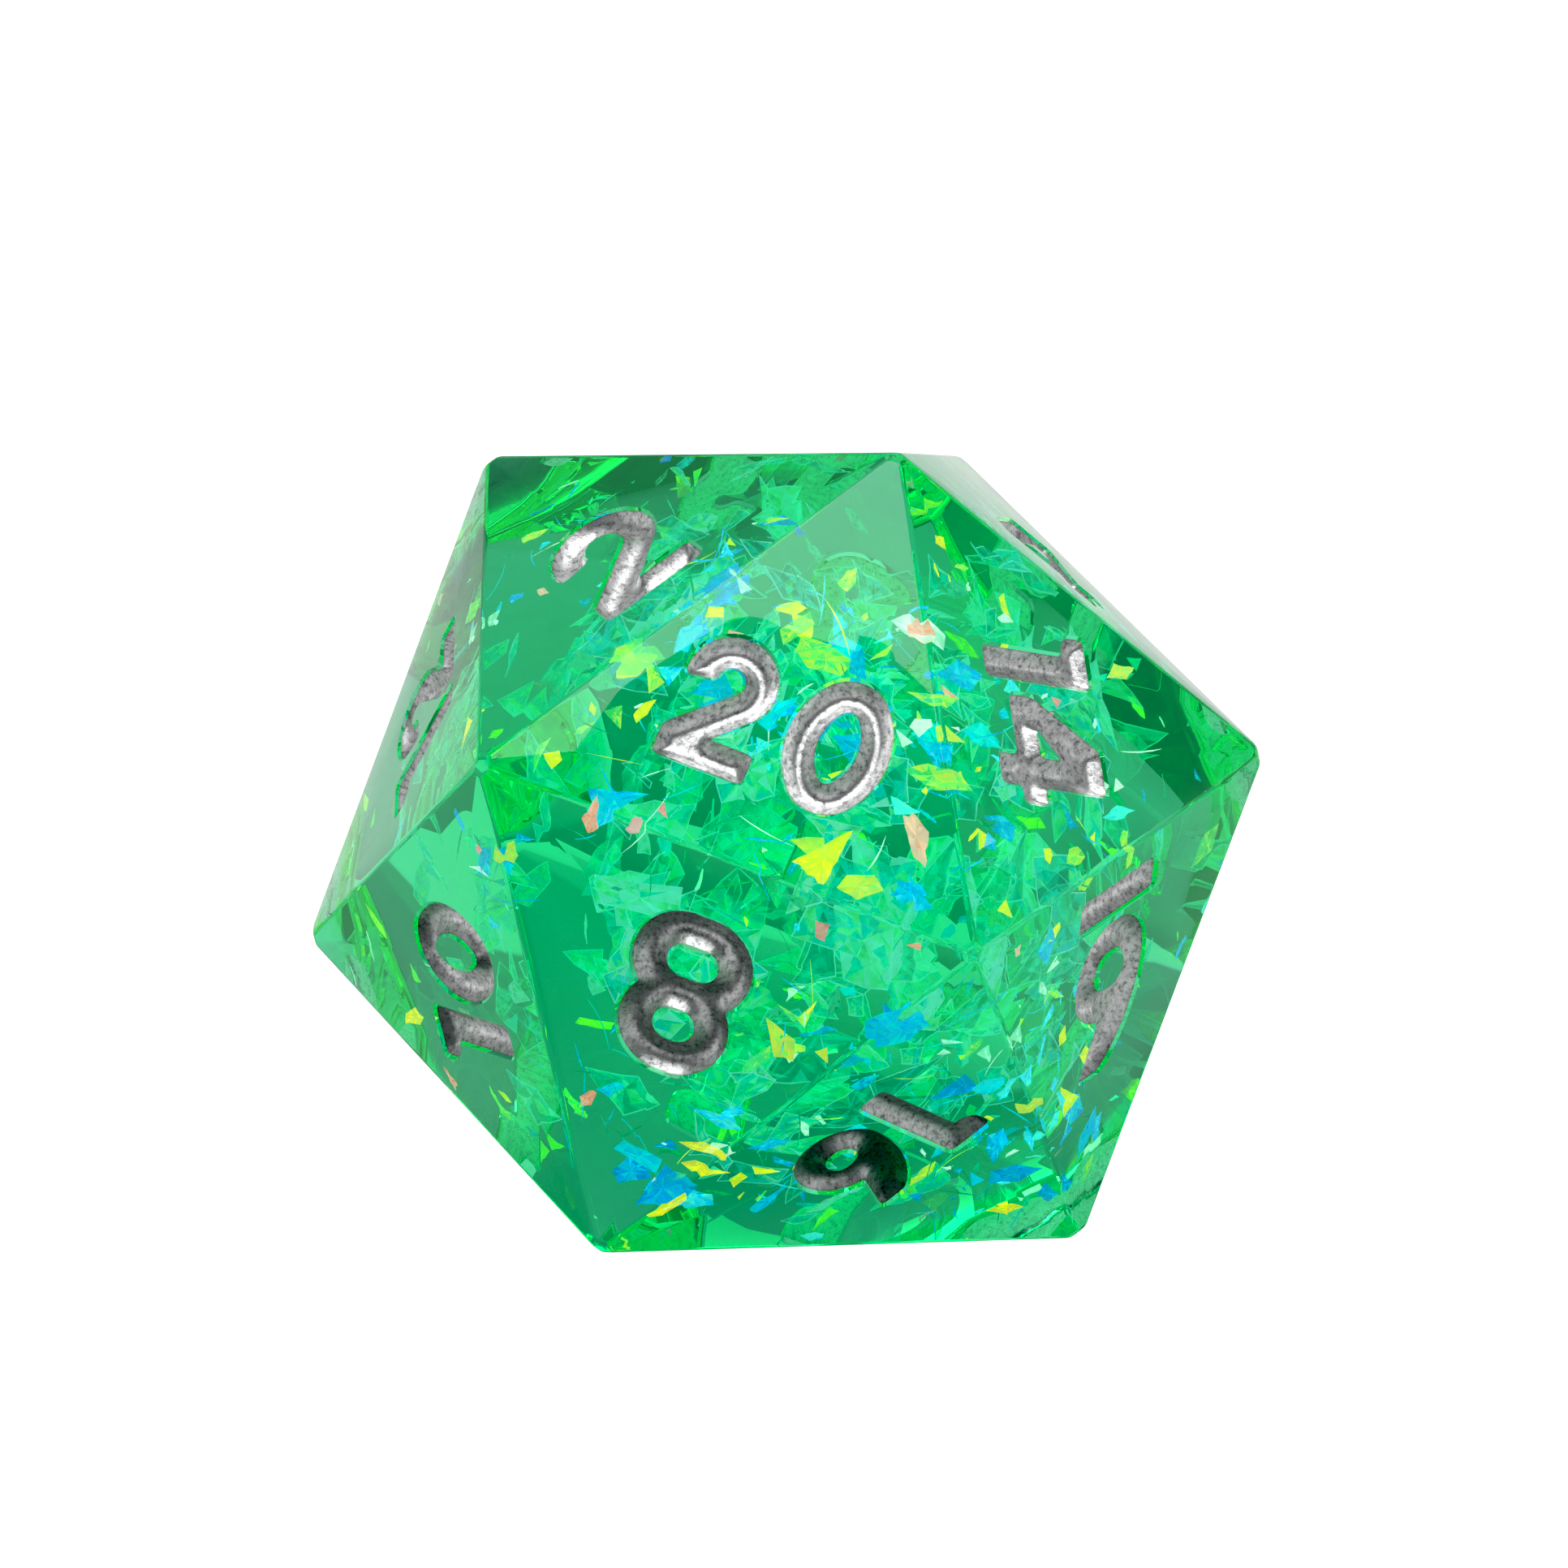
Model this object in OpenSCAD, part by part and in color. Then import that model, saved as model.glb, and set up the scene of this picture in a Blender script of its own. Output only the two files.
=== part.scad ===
// Twenty-sided die: a sharp-edged cast resin icosahedron, standing on face 3 with face 18 on top.
// Origin at the middle of the resting face, +Z up, +X along the edge between faces 18 and 2.

/* [Die] */
// Distance between two opposite faces
face_to_face = 20; // [19:0.5:24]
// Width of the bevel polished along every edge
bevel_w = 0.14; // [0.08:0.01:0.3]
// How far every corner is rounded back from a sharp point
corner_trim = 0.16; // [0.1:0.01:0.5]

/* [Numbers] */
// Height of a one-figure number
single_h = 4.35; // [3.8:0.05:4.5]
// Height of each figure in a two-figure number
pair_h = 3.55; // [3.2:0.05:3.7]
// Width of the engraved stroke in a one-figure number
single_w = 0.84; // [0.65:0.01:0.9]
// Width of the engraved stroke in a two-figure number
pair_w = 0.78; // [0.6:0.01:0.84]
// Gap between the two figures of a number
figure_gap = 0.45; // [0.35:0.01:0.6]
// Depth of the engraving
engrave_d = 0.45; // [0.35:0.01:0.55]
// Thickness of the paint on the floor of the engraving
paint_t = 0.15; // [0.08:0.01:0.25]

/* [Flakes] */
// Thickness of a film flake
flake_t = 0.08; // [0.05:0.01:0.12]
// Size of the scattered flakes on the far side
scatter_size = 0.9; // [0.5:0.05:1.1]
// Length of the large colourless film shards
shard_len = 3; // [2:0.1:3.4]

/* [Hidden] */
$fn = 96;
NUMBERS = [for (n = [1:20]) n];
NUMERAL_NODES = [for (n = NUMBERS) str("numeral_", n < 10 ? "0" : "", n)];
FLAKE_HUES = ["yellow", "lime", "peach", "pink", "cyan", "blue", "mint"];
FLAKE_NODES = [for (hue = FLAKE_HUES) str("flakes_", hue)];

// An icosahedron that stands on a face has its corners in four rings of three.
// The golden ratio gives the place of them all.
phi = (1 + sqrt(5)) / 2;
centre = [0, 0, face_to_face / 2];
inner_ring_r = face_to_face / pow(phi, 2);
outer_ring_r = face_to_face / phi;
edge_len = inner_ring_r * sqrt(3);
corner_r = norm([inner_ring_r, face_to_face / 2]);
mid_edge_r = edge_len * phi / 2;
block = 3 * face_to_face;
// Strokes that run into each other overlap by this angle and this length,
// and the second of the two is this much slimmer on each side
lap = 1.5;
lap_len = 0.04;
slim = 0.006;

function ring(r, z, start) = [for (k = [0:2]) [r * cos(start + 120 * k), r * sin(start + 120 * k), z]];
CORNERS = concat(
    ring(inner_ring_r, face_to_face, 90),
    ring(outer_ring_r, outer_ring_r, 30),
    ring(outer_ring_r, inner_ring_r, 90),
    ring(inner_ring_r, 0, 30)
);
// The corner straight across the die from each corner
ACROSS = [11, 9, 10, 7, 8, 6, 5, 3, 4, 1, 2, 0];
// The three corners of each face, from face 1 to face 20. The top of a number points at the first.
FACES = [
    [10, 4, 6], [1, 2, 5], [10, 9, 11], [0, 2, 3], [1, 0, 4],
    [9, 8, 3], [7, 10, 4], [11, 5, 8], [3, 9, 6], [7, 5, 11],
    [3, 0, 6], [7, 1, 5], [0, 4, 6], [3, 2, 8], [1, 7, 4],
    [9, 8, 11], [11, 7, 10], [2, 1, 0], [9, 6, 10], [2, 5, 8]
];
EDGES = [
    for (i = [0:11]) for (j = [i + 1:1:11])
        if (norm(CORNERS[i] - CORNERS[j]) < edge_len * 1.01 && i < min(ACROSS[i], ACROSS[j])) [i, j]
];

function unit(v) = v / norm(v);
// A frame with its Z along w and its Y along v, placed at p
function frame_at(p, v, w) = let (u = cross(v, w)) [
    [u.x, v.x, w.x, p.x],
    [u.y, v.y, w.y, p.y],
    [u.z, v.z, w.z, p.z],
    [0, 0, 0, 1]
];
function face_middle(n) = let (f = FACES[n - 1]) (CORNERS[f[0]] + CORNERS[f[1]] + CORNERS[f[2]]) / 3;
function face_frame(n) = let (m = face_middle(n))
    frame_at(m, unit(CORNERS[FACES[n - 1][0]] - m), unit(m - centre));
function edge_frame(e) = let (a = CORNERS[e[0]], b = CORNERS[e[1]])
    frame_at(centre, unit(b - a), unit((a + b) / 2 - centre));

module on_face(n) multmatrix(face_frame(n)) children();

// ---- Figures. Each is drawn upright about its own middle, h high, as strokes w wide and t thick. ----

function figure_width(c, h, w) =
    c == 0 ? 0.735 * h :
    c == 1 ? w + 0.15 * h :
    c == 4 ? 0.8 * h :
    c == 7 ? 0.68 * h :
    0.7 * h;

module bar(x0, y0, x1, y1, t) translate([x0, y0, 0]) cube([x1 - x0, y1 - y0, t]);

module bend(x, y, r, from, to, w, t)
    translate([x, y, 0])
        rotate([0, 0, from])
            rotate_extrude(angle = to - from)
                translate([r - w / 2, 0])
                    square([w, t]);

module slab(points, t) linear_extrude(height = t) polygon(points);

// A ring of even width, longer in X by 2 * s than in Y
module long_ring(x, y, r, s, w, t) {
    bend(x + s, y, r, -90, 90, w, t);
    bend(x - s, y, r, 90, 270, w, t);
    for (side = [-1, 1])
        bar(
            x - s - lap_len, y + side * r - w / 2 + slim,
            x + s + lap_len, y + side * r + w / 2 - slim, t
        );
}

module figure_0(h, w, t) {
    a = figure_width(0, h, w) / 2;
    end_r = 0.8 * a;
    end_y = h / 2 - end_r;
    side_r = (a * a + end_y * end_y - end_r * end_r) / (2 * (a - end_r));
    spread = atan2(end_y, side_r - a);
    for (s = [0, 180]) rotate([0, 0, s]) {
        bend(0, end_y, end_r - w / 2, spread - lap, 180 - spread + lap, w, t);
        bend(a - side_r, 0, side_r - w / 2, -spread, spread, w - 2 * slim, t);
    }
}

module figure_1(h, w, t) {
    right = figure_width(1, h, w) / 2;
    flag_h = 0.22 * h;
    bar(right - w, -h / 2, right, h / 2, t);
    slab([
        [right - w, h / 2], [-right, h / 2], [-right, h / 2 - 0.75 * flag_h],
        [-right + 0.07 * h, h / 2 - flag_h], [right - w, h / 2 - flag_h]
    ], t);
}

module figure_2(h, w, t) {
    half = figure_width(2, h, w) / 2;
    r = 0.325 * h - w / 2;
    cx = -0.02 * h;
    cy = h / 2 - r - w / 2;
    turn = -44;
    out = [cos(turn), sin(turn)];
    side = [cx, cy] + (r + w / 2 - slim) * out;
    inner = [cx, cy] + (r - w / 2 + slim) * out;
    foot = w - h / 2;
    bend(cx, cy, r, turn - lap, 190, w, t);
    slab([side, inner, [-half, foot], [-half, -h / 2], [side.x - (side.y + h / 2), -h / 2]], t);
    bar(-half, -h / 2, half - 0.03 * h, foot, t);
}

module figure_3(h, w, t) {
    waist = 0.03 * h;
    waist_y = 0.02 * h;
    top_r = (h - w + waist) / 4 - waist_y / 2;
    low_r = top_r + waist_y;
    bend(0, h / 2 - top_r - w / 2, top_r, -90, 165, w, t);
    bend(0, low_r + w / 2 - h / 2, low_r, -165, 90, w, t);
    bar(-0.1 * h, waist_y - w / 2, 0.05 * h, waist_y + w / 2, t);
}

module figure_4(h, w, t) {
    half = figure_width(4, h, w) / 2;
    stem = 0.16 * h;
    cross_y = -0.2 * h;
    cut = 0.42 * w;
    bar(stem - w / 2, -h / 2, stem + w / 2, h / 2, t);
    bar(-half, cross_y - w / 2, half, cross_y + w / 2, t);
    slab([
        [stem - w / 2, h / 2], [stem - w / 2, h / 2 - 1.7 * w], [-half + w, cross_y + w / 2],
        [-half, cross_y + w / 2 - cut], [-half, cross_y + w / 2], [stem - w, h / 2]
    ], t);
}

module figure_5(h, w, t) {
    half = figure_width(5, h, w) / 2;
    r = 0.33 * h - w / 2;
    left = -half + 0.04 * h;
    bar(left, h / 2 - w, half - 0.03 * h, h / 2, t);
    slab([
        [left, h / 2], [left + w, h / 2], [left + 0.9 * w, 0.02 * h], [left - 0.02 * h, -0.02 * h]
    ], t);
    bend(half - r - w / 2, r + w / 2 - h / 2, r, -155, 125, w, t);
}

module figure_6(h, w, t) {
    r = 0.325 * h - w / 2;
    cy = r + w / 2 - h / 2;
    stretch = 0.025 * h;
    left = -r - stretch - w / 2;
    back_r = 0.73 * h + w / 2;
    long_ring(0, cy, r, stretch, w, t);
    intersection() {
        translate([left + back_r, cy, 0]) cylinder(r = back_r - slim, h = t);
        slab([
            [left - w, cy - lap_len], [-stretch - r, cy - lap_len],
            [-stretch - r * cos(60), cy + r * sin(60)], [0.02 * h, cy + r],
            [0.22 * h, h / 2], [left - w, h / 2]
        ], t);
    }
}

module figure_7(h, w, t) {
    half = figure_width(7, h, w) / 2;
    foot = -0.1 * h;
    bar(-half, h / 2 - w, half, h / 2, t);
    slab([
        [half, h / 2], [half, h / 2 - w], [foot + w / 2, -h / 2], [foot - w / 2, -h / 2],
        [half - 1.15 * w, h / 2 - w], [half - 1.15 * w, h / 2]
    ], t);
}

module figure_8(h, w, t) {
    r = (h - w) / 4;
    long_ring(0, r, r, 0.025 * h, w, t);
    long_ring(0, -r, r, 0.055 * h, w, t);
}

module figure_9(h, w, t) rotate([0, 0, 180]) figure_6(h, w, t);

module figure(c, h, w, t) {
    if (c == 0) figure_0(h, w, t);
    if (c == 1) figure_1(h, w, t);
    if (c == 2) figure_2(h, w, t);
    if (c == 3) figure_3(h, w, t);
    if (c == 4) figure_4(h, w, t);
    if (c == 5) figure_5(h, w, t);
    if (c == 6) figure_6(h, w, t);
    if (c == 7) figure_7(h, w, t);
    if (c == 8) figure_8(h, w, t);
    if (c == 9) figure_9(h, w, t);
}

// ---- Numbers. t thick, standing on the floor of the engraving in face n. ----

single_y = 0.02 * single_h;
lined_y = 0.09 * single_h;
line_y = -0.58 * single_h;
line_half = 0.38 * single_h;
pair_y = -0.03 * pair_h;

module one_figure(n, t) {
    lined = n == 6 || n == 9;
    translate([0, lined ? lined_y : single_y, 0]) figure(n, single_h, single_w, t);
    if (lined) bar(-line_half, line_y - single_w / 2, line_half, line_y + single_w / 2, t);
}

module two_figures(n, t) {
    left = floor(n / 10);
    right = n % 10;
    left_w = figure_width(left, pair_h, pair_w);
    right_w = figure_width(right, pair_h, pair_w);
    start = -(left_w + figure_gap + right_w) / 2;
    translate([start + left_w / 2, pair_y, 0]) figure(left, pair_h, pair_w, t);
    translate([start + left_w + figure_gap + right_w / 2, pair_y, 0]) figure(right, pair_h, pair_w, t);
}

module number(n, t)
    on_face(n)
        translate([0, 0, -engrave_d])
            if (n < 10) one_figure(n, t);
            else two_figures(n, t);

// ---- Film flakes. Each row is face, across, up, depth below the face, length, width, spin, tilt. ----

YELLOW = [
    [20, 2.2, -2.7, 0.9, 1.8, 1.5, 70, 8], [20, -5, -2.8, 1, 0.5, 0.5, 0, 15],
    [20, -1.1, 3.1, 1.4, 0.8, 0.4, 20, -15], [20, 1.3, -0.8, 1.2, 0.6, 0.5, 40, 20],
    [2, 0.6, -3.2, 1.2, 0.5, 0.5, 0, 10], [8, -1.6, 4.1, 0.9, 1.2, 0.3, 5, 10],
    [16, 0.4, 5.2, 1, 1.1, 0.3, 60, 20], [16, 3.1, -2.1, 1.1, 0.6, 0.5, 40, 10],
    [16, -1.9, 2, 0.9, 0.3, 0.3, 0, 0], [14, 5, -2.1, 1, 0.7, 0.4, 50, 15],
    [14, -4.6, -2.3, 1, 0.5, 0.3, 45, 10], [14, 3.4, -0.2, 1.1, 0.5, 0.3, 10, 10],
    [6, 0.8, 3.2, 0.9, 1.4, 0.9, -60, 10], [6, 1.4, 1.1, 1, 0.6, 0.4, 70, 10],
    [6, 2.4, -2.4, 1, 0.8, 0.4, 25, 10]
];
LIME = [
    [20, -0.2, 2.3, 1.3, 1, 0.8, 45, 20], [20, 0, 4.3, 1.2, 0.8, 0.4, 70, -10],
    [20, -4.1, -1.1, 1.2, 0.9, 0.5, -50, 15], [2, -1.8, -3, 1.1, 1.3, 0.9, 0, 10],
    [2, -0.8, 3.9, 1.1, 0.9, 0.3, -15, 10], [2, 3.3, -2.2, 1, 0.9, 0.3, -50, 15],
    [8, -1, 5.3, 1, 1.1, 0.4, 35, 15], [8, -3, 0.6, 1, 0.6, 0.3, 20, 10],
    [8, -2.6, -0.2, 1, 0.8, 0.3, -20, 10], [16, -2.6, 2.6, 1, 0.8, 0.5, 80, 10],
    [16, -3.7, -0.5, 1, 0.8, 0.3, 15, 10], [16, -1.4, -3.3, 1, 0.8, 0.4, 70, 10],
    [14, -1.9, 3.4, 1, 1.1, 0.5, -70, 10], [14, 0.2, 1.2, 1.3, 0.9, 0.8, 30, 10],
    [14, 0.6, -2.9, 1, 0.9, 0.4, 80, 10], [6, -0.5, 5.9, 1, 0.9, 0.3, 75, 10],
    [10, 3.9, -3, 1, 0.8, 0.4, -35, 10]
];
PEACH = [
    [20, 4, -1.3, 1, 1.6, 0.6, -45, 10], [20, -2.1, 1.9, 1.1, 0.5, 0.3, 20, 5],
    [8, 3.6, -3.2, 0.9, 0.9, 0.5, 90, 5], [8, 1.5, 4, 1, 0.6, 0.4, 70, 5],
    [8, -5, -3.1, 1, 0.5, 0.3, 20, 5], [2, -1.9, 1.5, 1, 0.5, 0.3, -70, 5],
    [14, -2.1, -3.2, 1, 0.7, 0.6, 20, 10], [14, -0.5, -2.8, 1, 0.8, 0.4, 85, 5],
    [6, 4, -2.6, 1, 0.4, 0.3, -40, 5], [16, 2.1, 0.1, 1, 0.4, 0.3, 10, 5]
];
PINK = [
    [20, -2, -3, 1, 0.5, 0.3, -30, 10], [8, -2.7, -2.6, 1, 0.6, 0.5, -40, 5],
    [8, 2.5, -3.4, 0.9, 0.5, 0.3, 20, 5], [14, -0.8, 0.9, 1, 0.4, 0.4, -10, 5],
    [10, 3.9, -2, 1, 0.3, 0.3, 0, 5]
];
CYAN = [
    [2, -0.5, 0.1, 1.2, 0.8, 0.6, -40, 10], [2, -2.4, 2, 1, 0.4, 0.4, 10, 10],
    [2, 2, -1.9, 1.2, 0.9, 0.5, 60, 10], [16, 1.6, -2.4, 1, 1.1, 0.4, -45, 10],
    [16, -3, 3.6, 1, 0.7, 0.3, 65, 10], [14, -1, -0.3, 1.4, 0.9, 0.7, 60, 10],
    [14, 3.3, -2.2, 1, 0.5, 0.5, 20, 10], [6, -0.7, 4.8, 1, 0.9, 0.4, 80, 10],
    [6, 3.1, 1.5, 1, 0.9, 0.3, 75, 10], [6, 1.9, 3.7, 1, 0.9, 0.3, -60, 10],
    [8, -2, 2.9, 1, 0.9, 0.3, 35, 10], [20, -3.3, 0.4, 1.6, 1, 0.6, 50, 15],
    [16, 4.6, -2.8, 1.2, 0.8, 0.5, 10, 10]
];
BLUE = [
    [8, 0, 5.6, 1.6, 1, 0.8, 20, 15], [8, -0.7, 4.6, 1.6, 0.8, 0.4, 35, 10],
    [6, 0.3, 6, 1.4, 0.7, 0.7, 0, 10], [20, 4.3, -2.6, 1.6, 0.9, 0.6, 0, 10],
    [16, 1.3, 2.8, 1.2, 0.7, 0.4, 60, 10], [2, 0.1, -2.6, 1.8, 0.8, 0.5, 40, 10]
];
MINT = [
    [14, 1.3, 2.6, 1, 0.5, 0.4, 80, 5], [14, -2.8, -0.5, 1, 0.6, 0.3, 85, 5],
    [20, 3.1, 1.4, 1, 0.6, 0.5, 70, 5], [2, 1.6, -3.1, 1.1, 0.9, 0.4, 80, 10],
    [16, 2.6, -3.2, 1, 0.7, 0.3, -35, 10], [6, 2.6, -0.9, 1, 0.6, 0.3, -50, 10]
];
FLAKES = [YELLOW, LIME, PEACH, PINK, CYAN, BLUE, MINT];
FLAKE_COLOURS = [
    "gold", "greenyellow", "peachpuff", "lightpink", "turquoise", "royalblue", "aquamarine"
];
// The faces that get scattered flakes: each colour has its own place round the middle of a face
FAR_FACES = [1, 3, 5, 7, 9, 11, 13, 15, 17, 18, 19];
scatter_r = 2.5;
SHARDS = 12;
shard_ring_r = 4;

// An outline of three to five corners, different for each seed
function flake_outline(l, w, seed) = let (corners = 3 + seed % 3) [
    for (k = [0:corners - 1])
        let (a = 360 / corners * k + 18 * sin(97 * seed + 131 * k))
            let (r = 0.52 + 0.07 * cos(151 * seed + 83 * k))
                [l * r * cos(a), w * r * sin(a)]
];

module flake(f, seed)
    on_face(f[0])
        translate([f[1], f[2], -f[3]])
            rotate([f[7], 0.6 * f[7], f[6]])
                linear_extrude(height = flake_t, center = true)
                    polygon(flake_outline(f[4], f[5], seed));

module flakes(c) {
    for (k = [0:len(FLAKES[c]) - 1]) flake(FLAKES[c][k], 7 * c + k);
    for (n = FAR_FACES)
        if ((n + c) % 3 > 0) {
            a = 360 / len(FLAKES) * c + 25 * n;
            size = scatter_size * (0.8 + 0.3 * sin(67 * n + 41 * c));
            flake([
                n, scatter_r * cos(a), scatter_r * sin(a), 1.1 + 0.2 * sin(53 * n + 29 * c),
                size, 0.55 * size, 71 * n + 37 * c, 12 * sin(31 * n)
            ], n + 2 * c);
        }
}

module film_shards()
    color("palegreen", 0.5)
        for (k = [0:SHARDS - 1]) {
            z = 1 - (2 * k + 1) / SHARDS;
            turn = 360 * k / pow(phi, 2);
            translate(centre)
                rotate([0, 0, turn])
                    rotate([0, acos(z), 0])
                        translate([0, 0, shard_ring_r])
                            rotate([8 * sin(77 * k), 8 * cos(77 * k), 50 * k])
                                linear_extrude(height = flake_t, center = true)
                                    polygon(flake_outline(shard_len, 0.5 * shard_len, 3 * k + 2));
        }

// ---- Sub-parts ----

module sharp_block()
    intersection() {
        intersection_for (n = [1:10]) on_face(n) translate([-block / 2, -block / 2, -face_to_face])
            cube([block, block, face_to_face]);
        intersection_for (e = EDGES) multmatrix(edge_frame(e))
            cube([block, block, 2 * (mid_edge_r - bevel_w / (2 * pow(phi, 2)))], center = true);
        translate(centre) sphere(r = corner_r - corner_trim);
    }

module resin_body()
    color("mediumseagreen", 0.6)
        difference() {
            sharp_block();
            for (n = NUMBERS) number(n, 2 * engrave_d);
            for (c = [0:len(FLAKES) - 1]) flakes(c);
            film_shards();
        }

module numeral(n) color("silver") number(n, paint_t);

resin_body();
for (n = NUMBERS) numeral(n);
for (c = [0:len(FLAKES) - 1])
    color(FLAKE_COLOURS[c]) flakes(c);
film_shards();
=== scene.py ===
"""A twenty-sided die of clear green cast resin, with film flakes inside and silver paint in its
numbers.

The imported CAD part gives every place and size. The resin body is rebuilt with polished edges and
with a round trough for each number, the paint lines the troughs, and each flake becomes a crumpled
bit of film. Shapes are worked out in millimetres and turned into metres when a mesh is made.
"""

import math
import random

import bmesh
import bpy
import numpy as np
from mathutils import Matrix, Vector, geometry, noise


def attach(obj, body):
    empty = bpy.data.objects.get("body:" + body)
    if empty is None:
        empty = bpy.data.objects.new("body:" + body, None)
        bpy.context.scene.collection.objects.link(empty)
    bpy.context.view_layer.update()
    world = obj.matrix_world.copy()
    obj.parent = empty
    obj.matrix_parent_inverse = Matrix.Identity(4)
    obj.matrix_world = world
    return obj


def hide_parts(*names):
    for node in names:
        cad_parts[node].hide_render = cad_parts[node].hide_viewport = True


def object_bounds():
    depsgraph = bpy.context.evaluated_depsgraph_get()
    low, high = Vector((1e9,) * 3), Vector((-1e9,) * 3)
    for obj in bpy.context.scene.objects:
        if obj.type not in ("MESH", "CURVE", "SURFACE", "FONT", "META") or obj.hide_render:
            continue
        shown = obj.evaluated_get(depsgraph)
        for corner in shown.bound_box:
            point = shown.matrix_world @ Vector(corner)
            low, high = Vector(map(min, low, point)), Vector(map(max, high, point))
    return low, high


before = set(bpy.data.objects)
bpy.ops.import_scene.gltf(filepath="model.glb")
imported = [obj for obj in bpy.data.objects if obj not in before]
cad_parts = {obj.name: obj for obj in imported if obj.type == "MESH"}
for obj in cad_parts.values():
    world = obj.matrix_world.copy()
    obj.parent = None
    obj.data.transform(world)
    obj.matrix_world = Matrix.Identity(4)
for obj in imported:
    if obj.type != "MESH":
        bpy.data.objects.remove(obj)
cad_low, cad_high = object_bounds()

MM = 0.001
PHI = (1 + math.sqrt(5)) / 2
HEIGHT = (cad_high.z - cad_low.z) / MM
CENTRE = Vector((0, 0, HEIGHT / 2))
# The radii of the two sizes of ring that the corners lie on, three to a ring
INNER_RING = HEIGHT / PHI**2
OUTER_RING = HEIGHT / PHI

# ---- The icosahedron ----


def ring(radius, z, start):
    """Three corners at height z, a third of a turn apart, the first at that angle."""
    angles = [math.radians(start + 120 * k) for k in range(3)]
    return [Vector((radius * math.cos(a), radius * math.sin(a), z)) for a in angles]


CORNERS = (
    ring(INNER_RING, HEIGHT, 90)
    + ring(OUTER_RING, HEIGHT - INNER_RING, 30)
    + ring(OUTER_RING, INNER_RING, 90)
    + ring(INNER_RING, 0, 30)
)
# The corners of faces 1 to 20. The top of the number points at the first corner.
FACES = [
    (10, 4, 6), (1, 2, 5), (10, 9, 11), (0, 2, 3), (1, 0, 4),
    (9, 8, 3), (7, 10, 4), (11, 5, 8), (3, 9, 6), (7, 5, 11),
    (3, 0, 6), (7, 1, 5), (0, 4, 6), (3, 2, 8), (1, 7, 4),
    (9, 8, 11), (11, 7, 10), (2, 1, 0), (9, 6, 10), (2, 5, 8),
]
NUMBERS = range(1, 21)


def face_frame(n):
    """Face n's own axes: across, up and out, from the middle of the face."""
    first, *others = (CORNERS[k] for k in FACES[n - 1])
    middle = (first + others[0] + others[1]) / 3
    out = (middle - CENTRE).normalized()
    up = (first - middle).normalized()
    across = up.cross(out)
    turn = Matrix((across, up, out)).transposed()
    return Matrix.Translation(middle) @ turn.to_4x4()


FRAMES = {n: face_frame(n) for n in NUMBERS}

# ---- Meshes ----


def new_object(name, shape, sharp_angle=None):
    """An object from a shape in millimetres. Edges sharper than the angle keep their crease."""
    mesh = bpy.data.meshes.new(name)
    mesh.from_pydata([tuple(c * MM for c in p) for p in shape.points], [], shape.polygons)
    mesh.polygons.foreach_set("use_smooth", shape.smooth)
    if shape.tones:
        tone = mesh.attributes.new("tone", "FLOAT", "FACE")
        tone.data.foreach_set("value", shape.tones)
    if shape.wear:
        wear = mesh.attributes.new("wear", "FLOAT", "POINT")
        wear.data.foreach_set("value", shape.wear)
    mesh.validate()
    mesh.update()
    if sharp_angle:
        mesh.set_sharp_from_angle(angle=math.radians(sharp_angle))
    thing = bpy.data.objects.new(name, mesh)
    bpy.context.scene.collection.objects.link(thing)
    return thing


class Shape:
    """Points and polygons that grow piece by piece.

    tones has a number for each polygon, and wear one for each point, which the paint turns into
    painted shade at its top edge. Materials read them.
    """

    def __init__(self):
        self.points, self.polygons, self.smooth, self.tones, self.wear = [], [], [], [], []

    def add(self, points, polygons, smooth=True, tones=()):
        start = len(self.points)
        self.points.extend(tuple(p) for p in points)
        self.polygons.extend(tuple(start + k for k in p) for p in polygons)
        self.smooth.extend([smooth] * len(polygons))
        self.tones.extend(tones)

    def welded(self, gap=0.0008):
        """Joins points that lie in the same place."""
        bm = bmesh.new()
        verts = [bm.verts.new(p) for p in self.points]
        for polygon, smooth in zip(self.polygons, self.smooth):
            face = bm.faces.new([verts[k] for k in polygon])
            face.smooth = smooth
        bmesh.ops.remove_doubles(bm, verts=bm.verts[:], dist=gap)
        bmesh.ops.recalc_face_normals(bm, faces=bm.faces[:])
        bm.verts.index_update()
        result = Shape()
        result.points = [tuple(v.co) for v in bm.verts]
        result.polygons = [tuple(v.index for v in f.verts) for f in bm.faces]
        result.smooth = [f.smooth for f in bm.faces]
        bm.free()
        return result


# ---- Outlines of the engraved numbers, read from the CAD nodes ----

MERGE = 1e7  # CAD points that round to the same multiple of 1 / MERGE metres are one point
LEVEL_GAP = 0.01
OUTLINE_STEP = 0.09
SHARP_TURN = math.radians(24)
SMOOTHINGS = 3


def merged_mesh(node):
    """A CAD node's points in millimetres and its triangles, with split points joined."""
    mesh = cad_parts[node].data
    keys, points, number = {}, [], []
    for v in mesh.vertices:
        key = tuple(round(c * MERGE) for c in v.co)
        if key not in keys:
            keys[key] = len(points)
            points.append(Vector(v.co) / MM)
        number.append(keys[key])
    triangles = []
    for p in mesh.polygons:
        ids = [number[k] for k in p.vertices]
        if len(set(ids)) == len(ids):
            triangles.append(ids)
    return points, triangles


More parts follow.
